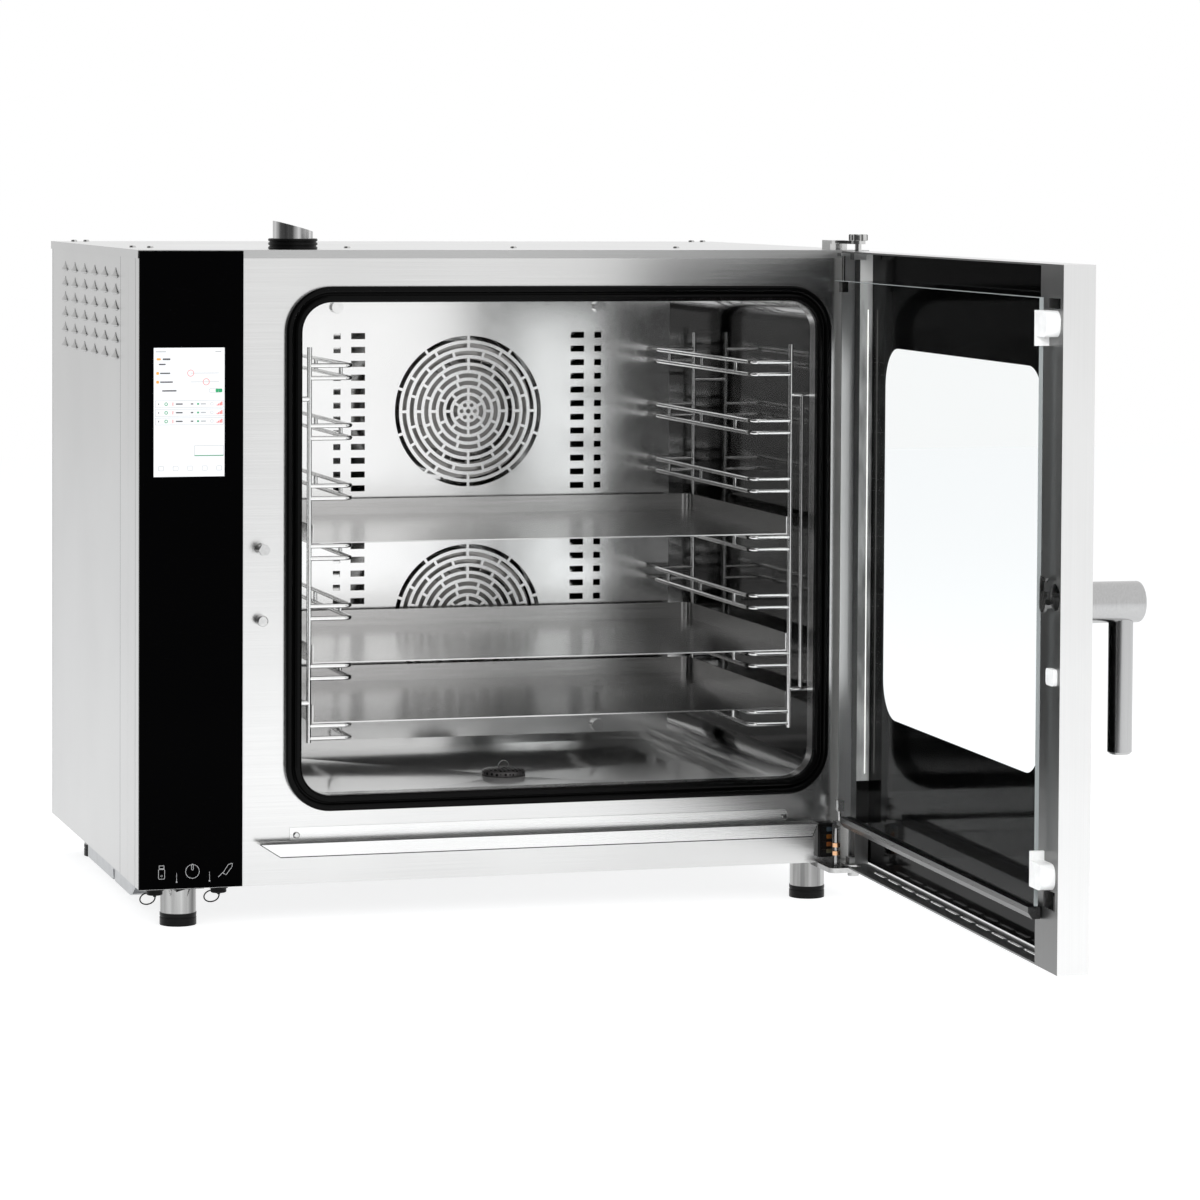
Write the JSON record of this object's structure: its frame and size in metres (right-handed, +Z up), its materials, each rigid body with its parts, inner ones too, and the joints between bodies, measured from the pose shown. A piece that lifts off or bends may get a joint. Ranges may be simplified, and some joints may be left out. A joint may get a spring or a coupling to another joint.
{
  "type": "combi oven",
  "caption": "Countertop combi steam oven with a touch screen column, wire racks with sheet trays, twin rear fans and a side hung glass door standing open.",
  "frame": {"origin": "on the floor, in the middle of the four feet", "axes": "+X to the right seen from the front, +Y from the front to the back, +Z up"},
  "size_m": [0.9503, 1.4563, 0.84],
  "materials": {
    "brushed_steel": "brushed",
    "cavity_steel": "satin",
    "polished_steel": "polished",
    "black_glass": "gloss",
    "clear_glass": "clear",
    "screen": "gloss",
    "black_plastic": "matte",
    "white_plastic": "matte",
    "green_board": "satin",
    "seal_rubber": "matte",
    "wool": "matte",
    "aluminium": "satin",
    "lamp": "gloss",
    "galvanised": "satin"
  },
  "bodies": {
    "oven": {"base_pan": "brushed_steel", "side_panel_left": "brushed_steel", "side_panel_right": "brushed_steel", "roof_panel": "brushed_steel", "rear_panel": "brushed_steel", "front_fascia": "brushed_steel", "control_glass": "black_glass", "control_housing": "cavity_steel", "touch_display": "screen", "controller_board": "green_board", "power_board": "green_board", "port_sockets": "black_plastic", "switch_housing": "black_plastic", "cavity_shell": "cavity_steel", "cavity_insulation": "wool", "door_gasket": "seal_rubber", "drip_gutter": "brushed_steel", "baffle_panel": "cavity_steel", "baffle_screws": "polished_steel", "rack_left": "polished_steel", "rack_right": "polished_steel", "fan_motors": "aluminium", "ring_heaters": "polished_steel", "water_line": "galvanised", "drain_pipe": "cavity_steel", "steam_duct": "cavity_steel", "chimney_pipe": "cavity_steel", "chimney_boot": "seal_rubber", "foot_sleeves": "brushed_steel", "foot_bases": "black_plastic", "runner_bracket": "galvanised", "striker_pin": "polished_steel", "hinge_bracket_top": "polished_steel", "hinge_bracket_bottom": "galvanised", "hinge_pins": "polished_steel", "hinge_nut": "polished_steel", "contact_block": "black_plastic", "contact_rings": "galvanised", "cable_gland": "black_plastic", "panel_screws": "polished_steel"},
    "door": {"door_frame": "brushed_steel", "outer_glass": "clear_glass", "led_bar": "lamp", "door_clips": "white_plastic"},
    "inner_glass": {"inner_glass": "clear_glass", "glass_pivots": "polished_steel", "drip_rail": "brushed_steel"},
    "handle": {"handle_boss": "brushed_steel", "handle_lever": "brushed_steel", "latch_hook": "polished_steel"},
    "upper_tray": {"tray_upper": "cavity_steel"},
    "middle_tray": {"tray_middle": "cavity_steel"},
    "lower_tray": {"tray_lower": "cavity_steel"},
    "upper_fan": {"fan_upper": "cavity_steel"},
    "lower_fan": {"fan_lower": "cavity_steel"},
    "rocker": {"power_rocker": "black_plastic"},
    "usb_cap": {"usb_cap": "seal_rubber"},
    "probe_cap": {"probe_cap": "seal_rubber"},
    "button": {"door_button": "black_plastic"},
    "strainer": {"drain_strainer": "cavity_steel"}
  },
  "joints": [
    {"name": "door_swing", "type": "hinge", "parent": "oven", "child": "door", "pos_m": [0.428, -0.355, 0.428], "axis": [0, 0, 1], "range_deg": [-88, 30]},
    {"name": "inner_glass_swing", "type": "hinge", "parent": "door", "child": "inner_glass", "pos_m": [0.41339, -0.34348, 0.442], "axis": [0, 0, -1], "range_deg": [0, 25]},
    {"name": "handle_turn", "type": "hinge", "parent": "door", "child": "handle", "pos_m": [0.42493, -1.07333, 0.444], "axis": [0.9994, -0.0349, 0], "range_deg": [0, 60]},
    {"name": "upper_tray_slide", "type": "slide", "parent": "oven", "child": "upper_tray", "axis": [0, -1, 0], "range_m": [0, 0.3]},
    {"name": "middle_tray_slide", "type": "slide", "parent": "oven", "child": "middle_tray", "axis": [0, -1, 0], "range_m": [0, 0.3]},
    {"name": "lower_tray_slide", "type": "slide", "parent": "oven", "child": "lower_tray", "axis": [0, -1, 0], "range_m": [0, 0.3]},
    {"name": "upper_fan_spin", "type": "hinge", "parent": "oven", "child": "upper_fan", "pos_m": [0.063, 0.18, 0.587], "axis": [0, -1, 0], "continuous": true},
    {"name": "lower_fan_spin", "type": "hinge", "parent": "oven", "child": "lower_fan", "pos_m": [0.063, 0.18, 0.314], "axis": [0, -1, 0], "continuous": true},
    {"name": "rocker_tilt", "type": "hinge", "parent": "oven", "child": "rocker", "pos_m": [-0.393, -0.303, 0.053], "axis": [0, 1, 0], "range_deg": [0, 14]},
    {"name": "usb_cap_pull", "type": "slide", "parent": "oven", "child": "usb_cap", "axis": [0, 0, -1], "range_m": [0, 0.012]},
    {"name": "probe_cap_pull", "type": "slide", "parent": "oven", "child": "probe_cap", "axis": [0, 0, -1], "range_m": [0, 0.012]},
    {"name": "button_press", "type": "slide", "parent": "oven", "child": "button", "axis": [0, 1, 0], "range_m": [0, 0.006], "stiffness_N_per_m": 300},
    {"name": "strainer_lift", "type": "slide", "parent": "oven", "child": "strainer", "axis": [0, 0, 1], "range_m": [0, 0.03]}
  ]
}
